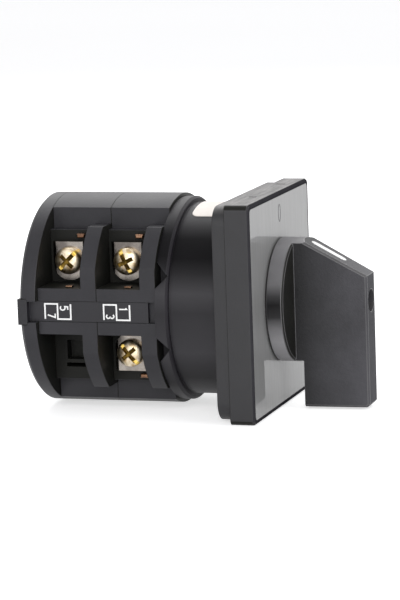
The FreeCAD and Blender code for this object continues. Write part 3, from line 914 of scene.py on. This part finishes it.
def digit_paths(digit):
    """Stroke paths of a plain digit one unit high and about 0.55 wide, each open or closed."""
    w = DIGIT_WIDE
    if digit == "0":
        return [(bend_points((0, 0), 0.22, 0.5, 0, 350, 35), True)]
    if digit == "1":
        return [([(-0.13, 0.36), (0.03, 0.5), (0.03, -0.5)], False)]
    if digit == "2":
        top = bend_points((0, 0.24), w, 0.26, 165, -30, 12)
        return [(top + [(-w, -0.5), (w, -0.5)], False)]
    if digit == "3":
        top = bend_points((0, 0.25), w, 0.25, 150, -70, 12)
        low = bend_points((0, -0.25), w, 0.25, 70, -150, 12)
        return [(top + low, False)]
    if digit == "4":
        bent = [(0.1, 0.5), (-w, -0.2), (0.28, -0.2)]
        return [(bent, False), ([(0.1, 0.42), (0.1, -0.5)], False)]
    if digit == "5":
        bowl = bend_points((-0.02, -0.18), 0.27, 0.32, 110, -140, 14)
        return [([(0.2, 0.5), (-0.18, 0.5), (-0.2, 0.1)] + bowl, False)]
    if digit == "6":
        back = bend_points((0.12, 0.0), 0.36, 0.5, 85, 180, 10)
        return [(back, False), (bend_points((0, -0.22), w, 0.28, 0, 345, 23), True)]
    if digit == "7":
        return [([(-w, 0.5), (w, 0.5), (-0.08, -0.5)], False)]
    top = bend_points((0, 0.26), 0.21, 0.24, 0, 340, 17)
    return [(top, True), (bend_points((0, -0.24), w, 0.26, 0, 340, 17), True)]


def draw_digit(bm, digit, centre, height, half, turn=0.0):
    """Draws one digit; a second stroke lies a hair higher where it crosses the first."""
    spin = Matrix.Rotation(math.radians(turn), 2)
    for i, (path, closed) in enumerate(digit_paths(digit)):
        points = [spin @ (Vector(p) * (height - 2 * half)) + Vector(centre) for p in path]
        ribbon(bm, points, half, MARK_THICK * (1 + CROSSING_LIFT * i), closed)


def finish_drawing(name, bm, origin, x_axis, y_axis, material, body):
    """Lays a drawing made in millimetres onto a face given by its two axes."""
    x_axis = Vector(x_axis)
    y_axis = Vector(y_axis)
    normal = x_axis.cross(y_axis)
    turn = Matrix((x_axis, y_axis, normal)).transposed().to_4x4()
    where = Matrix.Translation(Vector(origin) * MM) @ turn @ Matrix.Scale(MM, 4)
    bm.transform(where)
    mesh = bpy.data.meshes.new(name)
    bm.to_mesh(mesh)
    bm.free()
    return add_piece(name, mesh, material, body)


def strip_marks(bm, first, second, front_y):
    """The bracket line and the two terminal numbers of one deck on a strip.

    The drawing's x runs towards the rear.
    """
    front, middle, rear = (front_y + y for y in BRACKET_Y)
    low = -MARK_TOP
    high = MARK_TOP
    path = [(front, low), (front, high), (middle, high), (middle, low), (rear, low), (rear, high)]
    ribbon(bm, path, LINE_HALF, MARK_THICK)
    for digit, (behind, above) in ((first, FIRST_DIGIT), (second, SECOND_DIGIT)):
        centre = (front_y + behind, above)
        draw_digit(bm, digit, centre, DIGIT_HEIGHT, DIGIT_HALF, DIGIT_TURN)


def make_strip_marks(materials):
    fronts = (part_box("deck_front")[0].y / MM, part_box("deck_rear")[0].y / MM)
    for side, numbers in (("left", ("13", "57")), ("right", ("24", "68"))):
        sign = -1 if side == "left" else 1
        bm = bmesh.new()
        for front_y, pair in zip(fronts, numbers):
            strip_marks(bm, pair[0], pair[1], front_y)
        finish_drawing(
            "strip_marks_" + side, bm, (sign * STRIP_FACE_X, 0, 0), (0, 1, 0),
            (0, 0, 1) if sign > 0 else (0, 0, -1), materials["white"], "base",
        )


def make_dial_marks(materials):
    """0 above the knob and 1 a throw further clockwise, in thin dark lines."""
    for digit, angle in DIAL_MARKS:
        bm = bmesh.new()
        draw_digit(bm, digit, (0, 0), DIAL_HEIGHT, DIAL_HALF)
        a = math.radians(angle)
        origin = (DIAL_R * math.sin(a), BEZEL_FRONT_Y, DIAL_R * math.cos(a))
        piece = finish_drawing(
            "dial_mark_" + digit, bm, origin, (1, 0, 0), (0, 0, 1), materials["ink"], "base",
        )


# Floor, light and camera

def camera_axes():
    az = math.radians(CAMERA_AZ)
    el = math.radians(CAMERA_EL)
    roll = math.radians(CAMERA_ROLL)
    back = Vector((math.sin(az) * math.cos(el), -math.cos(az) * math.cos(el), math.sin(el)))
    right = Vector((math.cos(az), math.sin(az), 0.0))
    up = back.cross(right)
    right_rolled = right * math.cos(roll) + up * math.sin(roll)
    up_rolled = up * math.cos(roll) - right * math.sin(roll)
    return right_rolled, up_rolled, back


def make_camera():
    right, up, back = camera_axes()
    data = bpy.data.cameras.new("camera")
    data.sensor_width = SENSOR_MM
    data.lens = LENS_PX * SENSOR_MM / FRAME_LONG_PX
    data.clip_start = CLIP_START
    data.clip_end = CLIP_END
    camera = add_object("camera", data)
    place_mm = right * CAMERA_TX + up * CAMERA_TY + back * CAMERA_D + Vector((0, BEZEL_FRONT_Y, 0))
    turn = Matrix((right, up, back)).transposed().to_4x4()
    camera.matrix_world = Matrix.Translation(place_mm * MM) @ turn
    bpy.context.scene.camera = camera


def seen_directly(tree):
    """1 for camera, mirror and see-through rays, 0 for the rays that light the object."""
    path = place(tree, "ShaderNodeLightPath").outputs
    first = math_node(tree, "MAXIMUM", path["Is Camera Ray"], path["Is Glossy Ray"])
    return math_node(tree, "MAXIMUM", first, path["Is Transmission Ray"])


def mixed_when_seen(tree, hidden, seen, output):
    """Shows one shader to the rays that light the object and another to the rest."""
    mix = place(tree, "ShaderNodeMixShader")
    tree.links.new(seen_directly(tree), mix.inputs["Fac"])
    tree.links.new(hidden.outputs[0], mix.inputs[1])
    tree.links.new(seen.outputs[0], mix.inputs[2])
    tree.links.new(mix.outputs[0], tree.nodes[output].inputs["Surface"])


def floor_material():
    mat, tree, shader = new_material("floor_white")
    vector = object_coords(tree)
    drift = noise(tree, vector, scale=3.0)
    tone = two_tones(tree, drift, dark=(0.80, 0.80, 0.80), light=(0.84, 0.84, 0.84))
    tree.links.new(tone, shader.inputs["Base Color"])
    shader.inputs["Roughness"].default_value = 0.9
    glow = place(tree, "ShaderNodeEmission", Strength=FLOOR_GLOW)
    both = place(tree, "ShaderNodeAddShader")
    tree.links.new(shader.outputs[0], both.inputs[0])
    tree.links.new(glow.outputs[0], both.inputs[1])
    mixed_when_seen(tree, shader, both, "Material Output")
    return mat


def make_floor():
    low = CAD_BOX[0].z - FLOOR_GAP * MM
    side = FLOOR_HALF
    corners = [(-side, -side, low), (side, -side, low), (side, side, low), (-side, side, low)]
    mesh = bpy.data.meshes.new("floor")
    mesh.from_pydata(corners, [], [(0, 1, 2, 3)])
    floor = add_object("floor", mesh)
    mesh.materials.append(floor_material())


def make_world():
    world = bpy.data.worlds.new("studio")
    bpy.context.scene.world = world
    world.use_nodes = True
    tree = world.node_tree
    light = tree.nodes["Background"]
    light.inputs["Color"].default_value = WORLD_TINT
    light.inputs["Strength"].default_value = WORLD_LEVEL
    white = place(tree, "ShaderNodeBackground", Color=WHITE)
    mixed_when_seen(tree, light, white, "World Output")


def area_light(name, spot, target, size, power):
    data = bpy.data.lights.new(name, "AREA")
    data.shape = "RECTANGLE"
    data.size, data.size_y = size
    data.energy = power
    lamp = add_object(name, data)
    lamp.location = spot
    aim = Vector(target) - Vector(spot)
    lamp.rotation_mode = "QUATERNION"
    lamp.rotation_quaternion = aim.to_track_quat("-Z", "Y")


def make_lights():
    for name, spot, size, power in LIGHTS:
        area_light(name, spot, LIGHT_TARGET, size, power)


def main():
    materials = make_materials()
    dress_nodes(materials)
    make_mouldings(materials)
    make_terminal_screws(materials)
    make_handle_screw(materials)
    make_strip_marks(materials)
    make_dial_marks(materials)
    make_floor()
    make_world()
    make_lights()
    make_camera()
    scene = bpy.context.scene
    scene.view_settings.view_transform = "Standard"


main()
